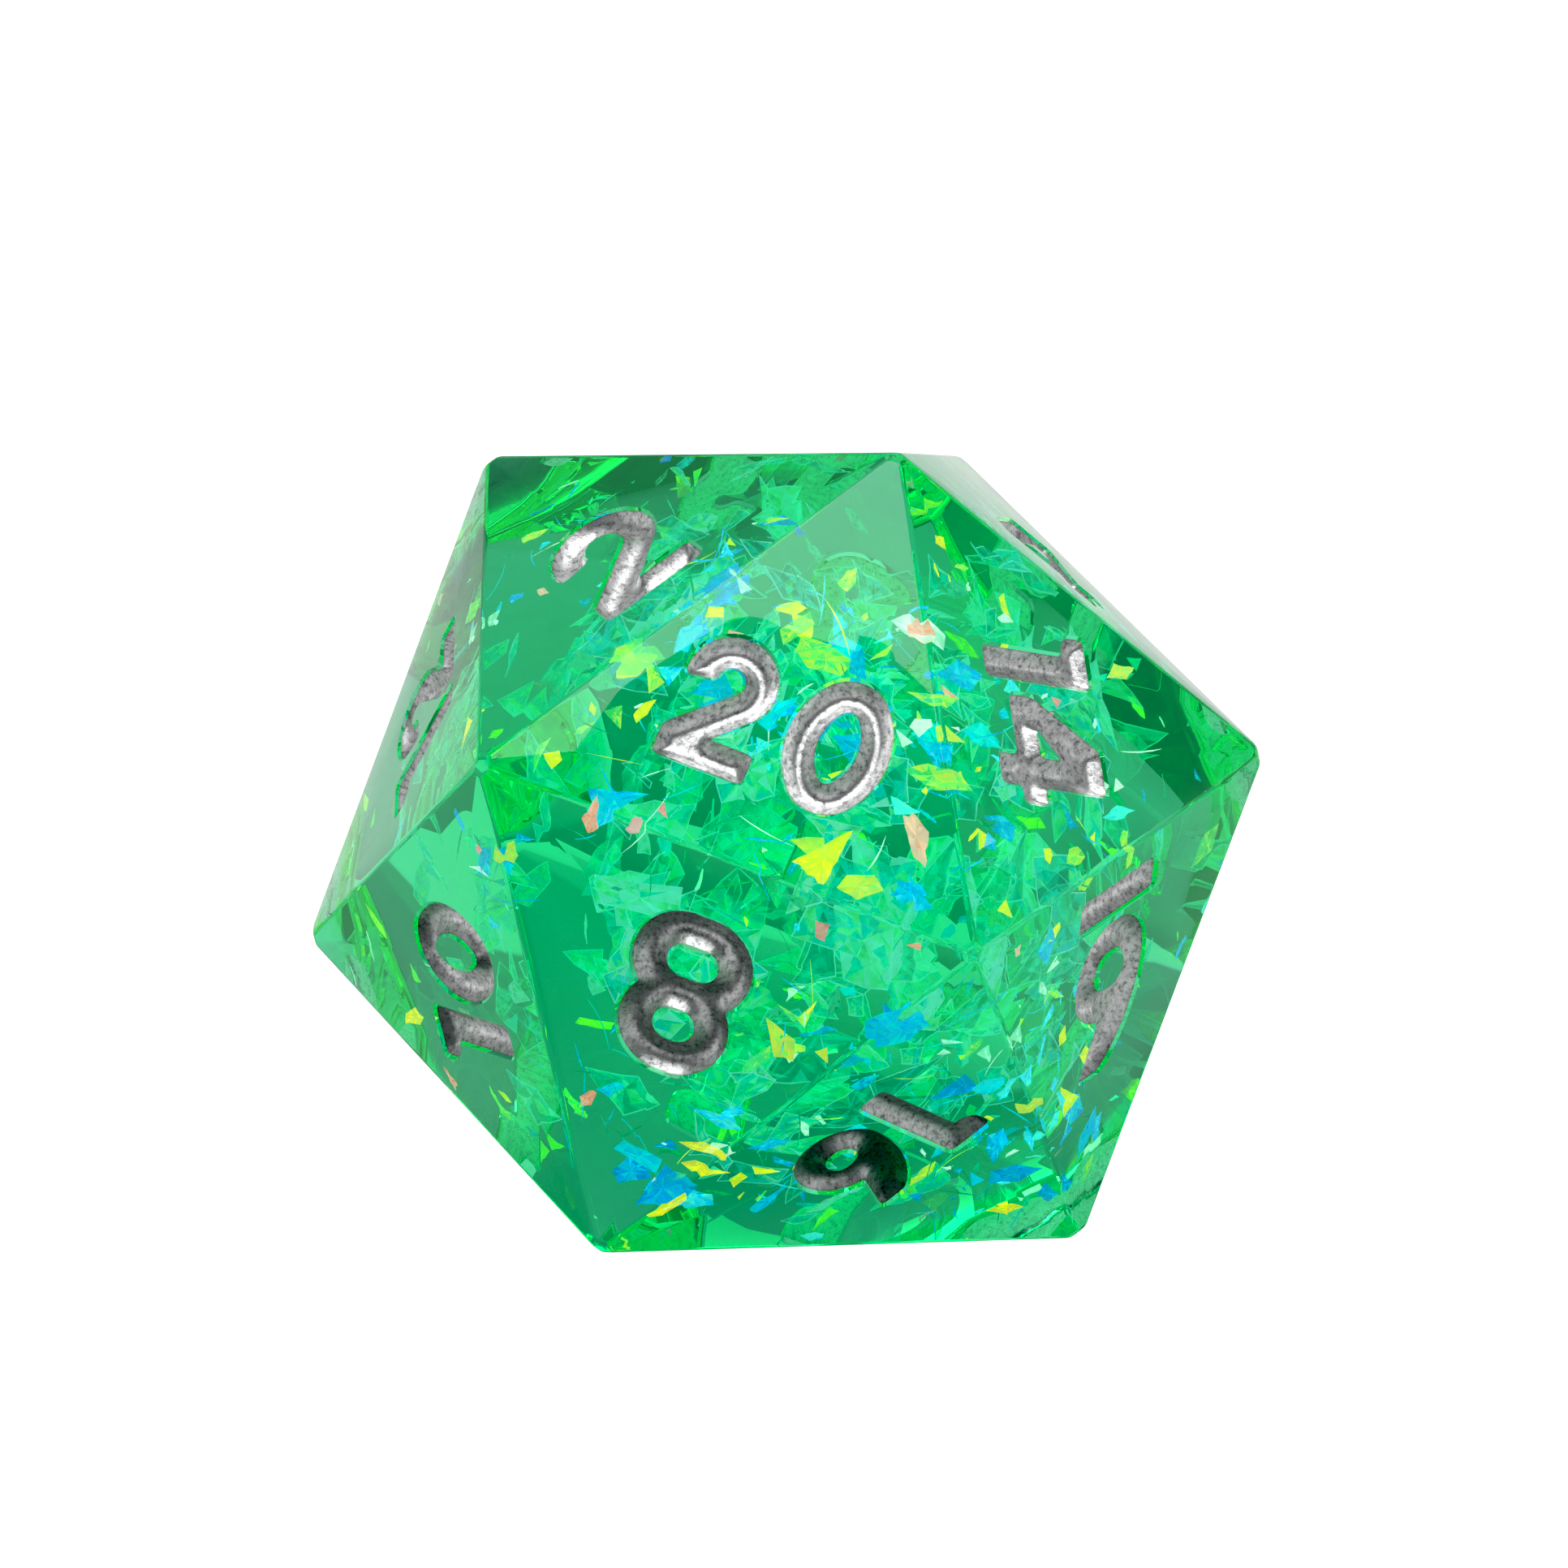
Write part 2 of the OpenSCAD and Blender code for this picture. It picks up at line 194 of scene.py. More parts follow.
def cap_loops(node, n):
    """The outlines of the paint's outer side, in face n's own axes."""
    points, triangles = merged_mesh(node)
    to_face = FRAMES[n].inverted()
    local = [to_face @ p for p in points]
    top = max(p.z for p in local) - LEVEL_GAP
    edges = {}
    for ids in triangles:
        if all(local[k].z > top for k in ids):
            for a, b in zip(ids, ids[1:] + ids[:1]):
                if (b, a) in edges:
                    del edges[(b, a)]
                else:
                    edges[(a, b)] = True
    follow = dict(edges.keys())
    loops = []
    while follow:
        start, here = follow.popitem()
        loop = [start]
        while here != start:
            loop.append(here)
            here = follow.pop(here)
        loops.append(np.array([local[k][:2] for k in loop]))
    return loops


def smoothed(loop):
    """Each point moved halfway toward the middle of its two neighbours."""
    return loop / 2 + (np.roll(loop, 1, axis=0) + np.roll(loop, -1, axis=0)) / 4


def rounded(loop):
    """Bends an arc's chords into cubic curves, spaces the points evenly, and eases the corners."""
    count = len(loop)
    before = loop - np.roll(loop, 1, axis=0)
    after = np.roll(loop, -1, axis=0) - loop
    lengths = np.linalg.norm(after, axis=1)
    turn = np.abs(np.arctan2(
        before[:, 0] * after[:, 1] - before[:, 1] * after[:, 0], (before * after).sum(axis=1)
    ))
    corner = turn > SHARP_TURN
    tangent = before + after
    tangent /= np.linalg.norm(tangent, axis=1)[:, None]
    result = []
    for k in range(count):
        m = (k + 1) % count
        length = lengths[k]
        chord = after[k] / length
        start = chord if corner[k] else tangent[k]
        end = chord if corner[m] else tangent[m]
        parts = max(1, math.ceil(length / OUTLINE_STEP))
        for i in range(parts):
            t = i / parts
            h1 = (1 + 2 * t) * (1 - t) ** 2
            h2 = t * (1 - t) ** 2 * length
            h3 = t * t * (3 - 2 * t)
            h4 = t * t * (t - 1) * length
            result.append(h1 * loop[k] + h2 * start + h3 * loop[m] + h4 * end)
    result = np.array(result)
    for _ in range(SMOOTHINGS):
        result = smoothed(result)
    return result


LEAST_SPREAD = 0.6  # keeps the outline from shooting far out at a sharp corner
LEAST_STEP = 0.3  # of a step's length must be left when the outline has moved
MOST_PASSES = 200


def moved_out(loop, by):
    """The outline moved away from the paint by that distance."""
    before = loop - np.roll(loop, 1, axis=0)
    after = np.roll(loop, -1, axis=0) - loop
    before /= np.linalg.norm(before, axis=1)[:, None]
    after /= np.linalg.norm(after, axis=1)[:, None]
    across = before + after
    across = np.stack([across[:, 1], -across[:, 0]], axis=1)
    across /= np.linalg.norm(across, axis=1)[:, None]
    square = np.stack([before[:, 1], -before[:, 0]], axis=1)
    spread = np.clip((square * across).sum(axis=1), LEAST_SPREAD, 1)
    return loop + across * (by / spread)[:, None]


def rim_outline(loop, by):
    """The outline moved out, eased wherever a tight inner corner would make it cross itself."""
    rim = moved_out(loop, by)
    along = np.roll(loop, -1, axis=0) - loop
    for _ in range(MOST_PASSES):
        now = np.roll(rim, -1, axis=0) - rim
        turned = (now * along).sum(axis=1) < LEAST_STEP * (along**2).sum(axis=1)
        if not turned.any():
            break
        loose = turned | np.roll(turned, 1)
        loose |= np.roll(loose, 1) | np.roll(loose, -1)
        rim[loose] = smoothed(rim)[loose]
    return rim


def segments(loops):
    """The start and the end of every segment of the outlines."""
    starts = np.concatenate(loops)
    ends = np.concatenate([np.roll(loop, -1, axis=0) for loop in loops])
    return starts, ends


def inside(points, loops):
    """True for the points that an odd number of outlines go round."""
    starts, ends = segments(loops)
    x, y = points[:, 0:1], points[:, 1:2]
    crosses = (starts[:, 1] > y) != (ends[:, 1] > y)
    level = ends[:, 1] == starts[:, 1]
    rise = np.where(level, 1, ends[:, 1] - starts[:, 1])
    at = starts[:, 0] + (y - starts[:, 1]) * (ends[:, 0] - starts[:, 0]) / rise
    return (crosses & (x < at)).sum(axis=1) % 2 == 1


def distance(points, loops):
    """How far each point is from the nearest outline."""
    starts, ends = segments(loops)
    along = ends - starts
    rel = points[:, None, :] - starts[None, :, :]
    t = np.clip((rel * along).sum(axis=2) / (along**2).sum(axis=1), 0, 1)
    return np.linalg.norm(rel - t[:, :, None] * along, axis=2).min(axis=1)


def find(leader, k):
    """The leader of k's group."""
    while leader[k] != k:
        leader[k] = leader[leader[k]]
        k = leader[k]
    return k


def triangulate(loops, extra, keep):
    """Triangles over the outlines and extra points. keep says which triangle middles stay.

    Triangles with no outline between them stay or go together, so that thin ones on an outline
    can't end up on the wrong side of it.
    """
    coords = np.concatenate(loops + ([extra] if len(extra) else []))
    edges, start = [], 0
    for loop in loops:
        edges += [(start + k, start + (k + 1) % len(loop)) for k in range(len(loop))]
        start += len(loop)
    points, links, faces, _, origins, _ = geometry.delaunay_2d_cdt(
        [Vector(c) for c in coords], edges, [], 0, 1e-6
    )
    points = np.array([tuple(p) for p in points])
    outline = {frozenset(link) for link, origin in zip(links, origins) if origin}
    leader, owners = list(range(len(faces))), {}
    for k, face in enumerate(faces):
        for edge in (frozenset((face[i], face[i - 1])) for i in range(3)):
            if edge not in outline:
                owners.setdefault(edge, []).append(k)
    for first, *others in owners.values():
        if others:
            leader[find(leader, first)] = find(leader, others[0])
    side = np.array([find(leader, k) for k in range(len(faces))])
    faces = np.array([tuple(f) for f in faces])
    corners = points[faces]
    a, b = corners[:, 1] - corners[:, 0], corners[:, 2] - corners[:, 0]
    area = np.abs(a[:, 0] * b[:, 1] - a[:, 1] * b[:, 0])
    votes = np.bincount(side, area * np.where(keep(corners.mean(axis=1)), 1, -1), len(faces))
    votes[[side[own[0]] for own in owners.values() if len(own) == 1]] = -1
    return points, faces[votes[side] > 0]


# ---- The number troughs ----

# The resin slopes down by the rim's depth all round a number, then falls away in a round trough
RIM_WIDTH = 0.09
RIM_DEPTH = 0.09
TROUGH_DEPTH = 0.31
ROUNDNESS = 0.8
# How far the paint's top lies under the face, its thickness, and how far its edge is tucked in
PAINT_TOP = 0.07
PAINT_T = 0.04
PAINT_TUCK = 0.016
# Half the width of a stroke in a number of one figure and of two
HALF_STROKE = {1: 0.42, 2: 0.39}
# The spacing of the points between the outlines, and how near to an outline they may be
GRID = 0.085
GRID_GAP = 0.45 * GRID
# The shade depth at the trough's bottom and on the paint's hidden side. It is 0 at the top, where
# the paint is darkened with painted shade.
SHADE_DEPTH_BOTTOM = 0.8
SHADE_DEPTH_HIDDEN = 1.0
PAINT_CREASE = 50


def trough(n):
    """The plan of number n: outlines, triangulated points, and how deep the paint lies at each."""
    loops = [rounded(loop) for loop in cap_loops(f"numeral_{n:02d}", n)]
    low = np.concatenate(loops).min(axis=0)
    high = np.concatenate(loops).max(axis=0)
    rows = np.arange(low[1], high[1], GRID * math.sqrt(3) / 2)
    extra = np.array([
        (x + (GRID / 2 if r % 2 else 0), y)
        for r, y in enumerate(rows) for x in np.arange(low[0], high[0], GRID)
    ])
    extra = extra[inside(extra, loops)]
    extra = extra[distance(extra, loops) > GRID_GAP]
    points, faces = triangulate(loops, extra, lambda middles: inside(middles, loops))
    share = np.clip(distance(points, loops) / HALF_STROKE[len(str(n))], 0, 1)
    depth = TROUGH_DEPTH * np.sin(share * math.pi / 2) ** ROUNDNESS
    return loops, points, faces, depth


def with_height(points, heights):
    """Points of a plan with their heights over the face."""
    return np.column_stack([points, np.broadcast_to(heights, len(points))])


def in_world(n, points):
    """Points in face n's own axes, placed on the die."""
    place = FRAMES[n]
    return [place @ Vector(p) for p in points]


def strip(count):
    """Polygons between two rings of points that follow each other in one list."""
    return [(k, (k + 1) % count, count + (k + 1) % count, count + k) for k in range(count)]


def paint(n, plan):
    """The lining of paint in one number, closed all round."""
    loops, points, faces, depth = plan
    tucked = points.copy()
    edge_ids = []
    for loop in loops:
        ids = [int(np.linalg.norm(points - p, axis=1).argmin()) for p in loop]
        edge_ids.append(ids)
        tucked[ids] = moved_out(loop, PAINT_TUCK)
    shape = Shape()
    top = with_height(tucked, -PAINT_TOP - depth)
    bottom = top - [0, 0, PAINT_T]
    count = len(points)
    shape.add(in_world(n, np.concatenate([top, bottom])), [tuple(f) for f in faces])
    shape.wear = (SHADE_DEPTH_BOTTOM * depth / TROUGH_DEPTH).tolist() + [SHADE_DEPTH_HIDDEN] * count
    shape.polygons += [tuple(count + k for k in f[::-1]) for f in faces]
    shape.smooth += [True] * len(faces)
    for ids in edge_ids:
        for a, b in zip(ids, ids[1:] + ids[:1]):
            shape.polygons.append((b, a, count + a, count + b))
            shape.smooth.append(True)
    return new_object(f"paint_{n:02d}", shape, PAINT_CREASE)


# ---- The resin body ----

# How far along its edges a corner is cut off, and how far in from an edge the bevel starts
CORNER_CUT = 0.34
BEVEL = 0.114
BEVEL_STEPS = 3
# What tells one of the 20 large faces from a bevel
LARGE_AREA = 20
SAME_WAY = 0.9999
BODY_CREASE = 38


def resin_body(plans):
    """The icosahedron with bevelled edges and a trough for every number, as one closed shape."""
    bm = bmesh.new()
    verts = [bm.verts.new(c) for c in CORNERS]
    for ids in FACES:
        bm.faces.new([verts[k] for k in ids])
    bmesh.ops.recalc_face_normals(bm, faces=bm.faces[:])
    bmesh.ops.bevel(
        bm, geom=bm.verts[:], offset=CORNER_CUT, offset_type="OFFSET", segments=1, profile=0.5,
        affect="VERTICES",
    )
    bmesh.ops.bevel(
        bm, geom=bm.edges[:] + bm.verts[:], offset=BEVEL, offset_type="OFFSET",
        segments=BEVEL_STEPS, profile=0.5, affect="EDGES", clamp_overlap=True,
    )
    bm.normal_update()
    shape = Shape()
    flats = {}
    for face in bm.faces:
        n = max(NUMBERS, key=lambda k: face.normal.dot(FRAMES[k].col[2].xyz))
        if face.calc_area() > LARGE_AREA and face.normal.dot(FRAMES[n].col[2].xyz) > SAME_WAY:
            to_face = FRAMES[n].inverted()
            flats[n] = np.array([(to_face @ v.co)[:2] for v in face.verts])
        else:
            shape.add([v.co for v in face.verts], [tuple(range(len(face.verts)))])
    bm.free()
    for n, (loops, points, faces, depth) in plans.items():
        rims = [rim_outline(loop, RIM_WIDTH) for loop in loops]
        flat, triangles = triangulate(
            [flats[n]] + rims, [], lambda middles: ~inside(middles, rims)
        )
        shape.add(in_world(n, with_height(flat, 0)), triangles, smooth=False)
        for rim, loop in zip(rims, loops):
            wall = np.concatenate([with_height(rim, 0), with_height(loop, -RIM_DEPTH)])
            shape.add(in_world(n, wall), [p[::-1] for p in strip(len(loop))])
        shape.add(in_world(n, with_height(points, -RIM_DEPTH - depth)), faces)
    return shape.welded()


# ---- Film flakes ----

# The two ends of a CAD flake's side through its thickness lie nearer together than this
SHORTEST_SIDE = 0.02
RIM_TONE = 1.25  # brighter than any facet
TONE_SPREAD = 0.22
SLIVER_PARTS = 5


def islands(node):
    """The separate solids of a CAD node, each as a list of points in millimetres."""
    points, triangles = merged_mesh(node)
    leader = list(range(len(points)))
    for ids in triangles:
        for k in ids[1:]:
            leader[find(leader, k)] = find(leader, ids[0])
    groups = {}
    for k in range(len(points)):
        groups.setdefault(find(leader, k), []).append(points[k])
    return sorted(
        groups.values(), key=lambda g: tuple(round(c, 3) for c in sum(g, Vector()) / len(g))
    )


def flake_plane(points):
    """A flake's place and axes, and its outline in them."""
    cloud = np.array([tuple(p) for p in points])
    middle = cloud.mean(axis=0)
    _, _, axes = np.linalg.svd(cloud - middle)
    out = Vector(axes[2])
    if out.dot(Vector(middle) - CENTRE) < 0:
        out = -out
    across = Vector(axes[0])
    up = out.cross(across)
    turn = Matrix((across, up, out)).transposed()
    place = Matrix.Translation(Vector(middle)) @ turn.to_4x4()
    flat = [(place.inverted() @ p).xy for p in points]
    hull = [flat[k] for k in geometry.convex_hull_2d(flat)]
    return place, [p for k, p in enumerate(hull) if (p - hull[k - 1]).length > SHORTEST_SIDE]


def crumpled(shape, place, outline, rng, fold, thick=0.03, ragged=0.16, step=0.2, rim=0.0):
    """A closed bit of film: ragged at its edge, bent by folds across it, each facet its own tone.

    fold and ragged are shares of its size. A rim of that width, if any, has the rim tone.
    """
    ring_points = []
    for a, b in zip(outline, outline[1:] + outline[:1]):
        parts = max(2, math.ceil((b - a).length / step))
        ring_points += [a.lerp(b, k / parts) for k in range(parts)]
    middle = sum(ring_points, Vector((0, 0))) / len(ring_points)
    size = max((p - middle).length for p in ring_points)
    rings = [[middle + (p - middle) * (1 - ragged * 2 * rng.random() ** 2) for p in ring_points]]
    if rim:
        rings.append([p + (middle - p).normalized() * rim for p in rings[0]])
    rings.append([middle + (p - middle) * rng.uniform(0.35, 0.7) for p in rings[0]])
    plan = sum(rings, []) + [middle]
    angle, wave = rng.uniform(0, math.pi), rng.uniform(0.45, 0.8) * size
    seed = rng.uniform(0, 100)

    def height(p):
        along = (p.x * math.cos(angle) + p.y * math.sin(angle)) / wave
        crease = abs((along + 10.3) % 1 - 0.5) - 0.25
        rough = noise.noise(Vector((p.x * 2.2, p.y * 2.2, seed)))
        return fold * size * (1.1 * crease + 0.8 * rough)

    count, total = len(ring_points), len(plan)
    heights = [height(p) for p in plan]
    points = [place @ Vector((p.x, p.y, h + thick / 2)) for p, h in zip(plan, heights)]
    points += [place @ Vector((p.x, p.y, h - thick / 2)) for p, h in zip(plan, heights)]
    base = rng.random()
    upper, tones = [], []
    for level in range(len(rings)):
        start = level * count
        for k in range(count):
            m = (k + 1) % count
            if level + 1 == len(rings):
                facets = [(start + k, start + m, total - 1)]
            else:
                after = start + count
                facets = [(start + k, start + m, after + m), (start + k, after + m, after + k)]
            upper += facets
            for _ in facets:
                tone = base + rng.gauss(0, TONE_SPREAD)
                tones.append(RIM_TONE if rim and level == 0 else min(1, max(0, tone)))
    lower = [tuple(total + v for v in f[::-1]) for f in upper]
    sides = [((k + 1) % count, k, total + k, total + (k + 1) % count) for k in range(count)]
    edge_tones = [RIM_TONE if rim else base] * count
    shape.add(points, upper + lower + sides, False, tones + tones + edge_tones)


def sliver(shape, middle, along, out, length, width, rng):
    """A thin curved shaving of film that ends in two points."""
    side = out.cross(along).normalized()
    bow = rng.uniform(-0.08, 0.08) * length
    dip = rng.uniform(-0.08, 0.08) * length
    points = []
    for k in range(SLIVER_PARTS + 1):
        t = k / SLIVER_PARTS - 0.5
        arch = 1 - 4 * t * t
        spine = middle + along * (t * length) + side * (bow * arch) + out * (dip * arch)
        half = width / 2 * (0.12 + max(0, arch)) * rng.uniform(0.75, 1.15)
        lean = out * (rng.uniform(-0.3, 0.3) * half)
        points += [spine + side * half + lean, spine - side * half - lean, spine - out * 0.018]
    faces = []
    for k in range(SLIVER_PARTS):
        a, b = 3 * k, 3 * (k + 1)
        faces += [(a + i, a + (i + 1) % 3, b + (i + 1) % 3, b + i) for i in range(3)]
    last = 3 * SLIVER_PARTS
    faces += [(2, 1, 0), (last, last + 1, last + 2)]
    shape.add(points, faces, False, [rng.random() for _ in faces])


FLAKE_FOLD = {
    "yellow": 0.22, "lime": 0.2, "peach": 0.24, "pink": 0.24,
    "cyan": 0.25, "blue": 0.2, "mint": 0.2,
}
RAGGED_HUES = ("peach", "pink")


def build_flakes():
    """For each hue, crumpled film in the place and outline of every CAD flake."""
    made = {}
    for hue, fold in FLAKE_FOLD.items():
        rng = random.Random(hue)
        shape = Shape()
        for points in islands("flakes_" + hue):
            place, outline = flake_plane(points)
            ragged = 0.12 if hue in RAGGED_HUES else 0.06
            crumpled(shape, place, outline, rng, fold, ragged=ragged)
        made[hue] = shape
    return made


def build_shards():
    """The large clear pieces, in the places of the CAD shards."""
    rng = random.Random("shards")
    shape = Shape()
    for points in islands("film_shards"):
        place, outline = flake_plane(points)
        crumpled(shape, place, outline, rng, 0.3, step=0.4)
    return shape


# The film settled away from this side of the die
CLEAR_SIDE = Vector((-0.79, -0.61, 0))


def sparse(rng, middle):
    """True where film should be left out: more and more often toward the clear side."""
    return (middle - CENTRE).dot(CLEAR_SIDE) > 1.5 + 5 * rng.random() ** 1.5


def room(point):
    """How far inside the nearest face a point is."""
    return min(-(FRAMES[n].inverted() @ point).z for n in NUMBERS)


GREENS = ("green", "green", "green", "teal", "mint")
COOL = ("green", "teal", "teal", "cyan", "cyan", "blue", "mint")
WARM = ("green", "green", "lime", "lime", "yellow", "mint")
MIXED = ("green", "green", "green", "teal", "teal", "cyan", "lime", "mint", "yellow")
# Where small film gathers: face, across, up, depth, spread across, up and deep, count, hues
CLUSTERS = [
    (20, 0.0, 3.2, 1.6, 2.6, 1.8, 0.7, 36, MIXED),
    (20, 0.2, 0.0, 1.8, 3.0, 1.2, 0.8, 34, COOL),
    (20, 1.0, -3.0, 1.6, 3.5, 1.5, 0.7, 26, GREENS),
    (20, -4.0, -1.5, 1.4, 1.6, 1.2, 0.6, 14, WARM),
    (2, 1.0, 3.0, 1.3, 2.0, 1.6, 0.6, 16, GREENS),
    (2, 0.5, -1.5, 1.7, 2.8, 1.2, 0.7, 30, MIXED),
    (8, 0.5, 4.0, 1.5, 2.4, 1.8, 0.7, 24, GREENS),
    (8, -2.6, 0.6, 1.3, 1.6, 2.0, 0.6, 24, WARM),
    (8, 3.0, -2.0, 1.6, 1.6, 1.2, 0.6, 8, GREENS),
    (16, 0.0, 4.0, 1.4, 2.0, 2.2, 0.7, 30, COOL),
    (16, 1.5, -1.0, 1.6, 2.6, 1.8, 0.7, 36, MIXED),
    (16, -2.5, -1.0, 1.5, 1.8, 1.8, 0.6, 18, COOL),
    (14, 0.0, 1.5, 1.6, 2.4, 2.2, 0.7, 20, MIXED),
    (14, 1.5, -2.6, 1.5, 2.6, 1.2, 0.6, 26, MIXED),
    (14, -3.5, -2.0, 1.4, 1.2, 1.2, 0.6, 8, WARM),
    (6, 1.2, 3.6, 1.3, 1.6, 2.0, 0.6, 30, COOL),
    (6, 1.8, 0.0, 1.5, 1.6, 2.0, 0.6, 24, MIXED),
    (6, 0.0, -3.0, 1.4, 1.6, 0.8, 0.6, 8, WARM),
    (10, 3.0, -2.0, 1.4, 1.8, 1.2, 0.6, 12, COOL),
    (10, 0.5, 1.5, 2.0, 1.8, 1.8, 0.8, 6, GREENS),
    (12, 1.5, -2.0, 1.8, 1.8, 1.2, 0.8, 6, GREENS),
]
# Larger pieces of coloured film: face, across, up, depth, length, width, hue
SHEETS = [
    (20, 1.7, -2.5, 1.5, 1.3, 0.9, "lime"), (20, 3.2, -2.9, 1.3, 1.2, 0.8, "lime"),
    (20, -0.7, 2.6, 1.1, 1.6, 0.6, "lime"), (20, 0.2, 2.2, 1.5, 1.9, 1.0, "lime"),
    (20, 1.0, 2.4, 1.4, 1.2, 0.6, "teal"), (20, 1.9, 0.2, 1.6, 2.0, 1.5, "teal"),
    (20, 1.8, -0.6, 1.2, 1.0, 0.7, "yellow"), (20, -0.4, 0.4, 1.5, 1.8, 1.2, "teal"),
    (20, -2.0, 0.6, 1.4, 1.6, 1.3, "teal"), (20, -3.6, 0.2, 1.2, 1.4, 0.6, "lime"),
    (20, 3.7, 0.9, 1.2, 1.6, 0.7, "teal"), (20, 3.9, 0.3, 1.0, 1.7, 0.7, "lime"),
    (20, -5.3, -2.9, 0.9, 1.2, 0.6, "lime"), (20, 4.6, -2.6, 1.4, 1.3, 0.7, "blue"),
    (20, -3.0, -3.0, 1.5, 2.0, 1.2, "teal"), (2, -1.7, -3.2, 1.0, 2.0, 0.9, "lime"),
    (2, -0.2, -3.0, 1.4, 1.5, 0.8, "teal"), (2, 1.5, -2.6, 1.4, 1.6, 0.9, "teal"),
    (2, 0.2, 0.4, 1.1, 1.0, 0.6, "cyan"), (2, 3.4, -2.4, 1.1, 1.4, 0.7, "blue"),
    (14, -0.4, -3.2, 0.9, 1.3, 0.7, "lime"), (14, -2.2, -3.2, 1.1, 1.5, 0.8, "mint"),
    (14, -1.2, -2.2, 1.4, 1.7, 1.1, "teal"), (14, 1.8, -3.0, 1.1, 1.5, 0.8, "lime"),
    (8, -0.9, 5.5, 0.9, 1.9, 1.0, "blue"), (8, -0.2, 5.0, 1.2, 1.8, 0.9, "teal"),
    (8, -1.2, 5.8, 0.6, 1.6, 0.4, "yellow"), (8, -1.7, 3.2, 0.9, 1.5, 0.4, "cyan"),
    (8, -2.6, 0.5, 0.8, 1.4, 0.9, "lime"), (8, -2.2, 1.3, 0.8, 1.2, 0.4, "lime"),
    (16, 3.2, -3.2, 0.8, 1.5, 0.4, "yellow"), (16, 4.2, -2.6, 1.1, 1.8, 1.0, "cyan"),
    (16, 3.2, -0.6, 1.2, 1.9, 1.1, "teal"), (16, -1.3, 3.0, 1.0, 1.6, 0.7, "cyan"),
    (16, -2.3, 0.5, 1.2, 1.8, 1.1, "blue"), (16, 0.4, 5.2, 0.8, 1.4, 0.5, "yellow"),
    (16, -0.6, 4.4, 1.1, 1.5, 0.8, "blue"), (16, -3.2, -2.6, 1.2, 1.8, 1.0, "teal"),
    (6, -0.2, 4.7, 0.9, 1.6, 0.7, "blue"), (6, 0.6, 3.6, 1.1, 1.7, 0.9, "teal"),
    (6, 2.4, 0.2, 0.8, 1.2, 0.5, "cyan"), (6, 0.2, 2.2, 0.9, 1.0, 0.5, "yellow"),
    (6, -4.5, -1.8, 0.8, 1.6, 0.8, "lime"), (6, 2.6, -2.2, 1.0, 1.5, 0.8, "teal"),
    (10, 4.6, -1.6, 0.8, 1.2, 0.4, "cyan"), (10, -2.0, 2.2, 1.0, 1.6, 0.8, "lime"),
    (10, -1.6, 3.4, 0.8, 1.2, 0.5, "yellow"), (12, -3.6, -2.6, 0.9, 1.4, 0.7, "yellow"),
]
LOOSE_CHIPS = 150
WIDE_FILMS = 270
# How far inside every face the middle of a chip and of a wide film must be
CHIP_ROOM = 0.6
WIDE_ROOM = 1.3
CHIP_LENGTHS = (0.22, 0.35, 0.55, 0.8, 1.15)
CHIP_RAGGED = 0.05
SMALL_HUES = ("green", "teal", "mint", "cyan", "blue", "lime", "yellow")


def chip_outline(rng, length, width):
    """Three to five corners round an ellipse."""
    corners = rng.choice((3, 3, 4, 4, 5))
    start = rng.random()
    outline = []
    for k in range(corners):
        a = 2 * math.pi * (k + start + rng.uniform(-0.28, 0.28)) / corners
        reach = rng.uniform(0.35, 0.55)
        outline.append(Vector((length * reach * math.cos(a), width * reach * math.sin(a))))
    return outline


def any_way(rng, spread=1):
    """A vector of random size and direction."""
    return Vector([rng.gauss(0, spread) for _ in range(3)])


def lie(rng, middle, out, wobble):
    """A place at that point, facing roughly out and turned any way."""
    out = (out + any_way(rng, wobble)).normalized()
    along = out.orthogonal().normalized()
    along.rotate(Matrix.Rotation(rng.uniform(0, 2 * math.pi), 3, out))
    turn = Matrix((along, out.cross(along), out)).transposed()
    return Matrix.Translation(middle) @ turn.to_4x4()


def build_small_film():
    """Chips and shavings of film, one shape for each hue: gathered, placed singly, and loose."""
    rng = random.Random("small film")
    shapes = {hue: Shape() for hue in SMALL_HUES}

    def drop(middle, out, hue, scale=1.0):
        if room(middle) < CHIP_ROOM:
            return
        place = lie(rng, middle, out, 0.4)
        if rng.random() < 0.5:
            length = scale * rng.uniform(0.4, 1.7)
            along, out = place.col[0].xyz, place.col[2].xyz
            hue = hue if rng.random() < 0.4 else rng.choice(("green", "green", "teal"))
            sliver(shapes[hue], middle, along, out, length, rng.uniform(0.02, 0.06), rng)
        else:
            length = scale * rng.choice(CHIP_LENGTHS)
            outline = chip_outline(rng, length, length * rng.uniform(0.22, 0.65))
            crumpled(shapes[hue], place, outline, rng, 0.3, ragged=CHIP_RAGGED, step=0.3)

    for n, across, up, depth, s_across, s_up, s_deep, count, hues in CLUSTERS:
        for _ in range(count):
            spot = Vector((
                across + s_across * rng.gauss(0, 0.55), up + s_up * rng.gauss(0, 0.55),
                -depth - s_deep * rng.gauss(0, 0.5),
            ))
            drop(FRAMES[n] @ spot, FRAMES[n].col[2].xyz, rng.choice(hues))
    for n, across, up, depth, length, width, hue in SHEETS:
        place = FRAMES[n] @ lie(rng, Vector((across, up, -depth)), Vector((0, 0, 1)), 0.18)
        outline = chip_outline(rng, length, width)
        crumpled(shapes[hue], place, outline, rng, 0.22, ragged=CHIP_RAGGED, step=0.3)
    for _ in range(LOOSE_CHIPS):
        out = any_way(rng).normalized()
        middle = CENTRE + out * (8.6 * rng.random() ** 0.45)
        if not sparse(rng, middle):
            drop(middle, out, rng.choice(MIXED), 1.3)
    return shapes


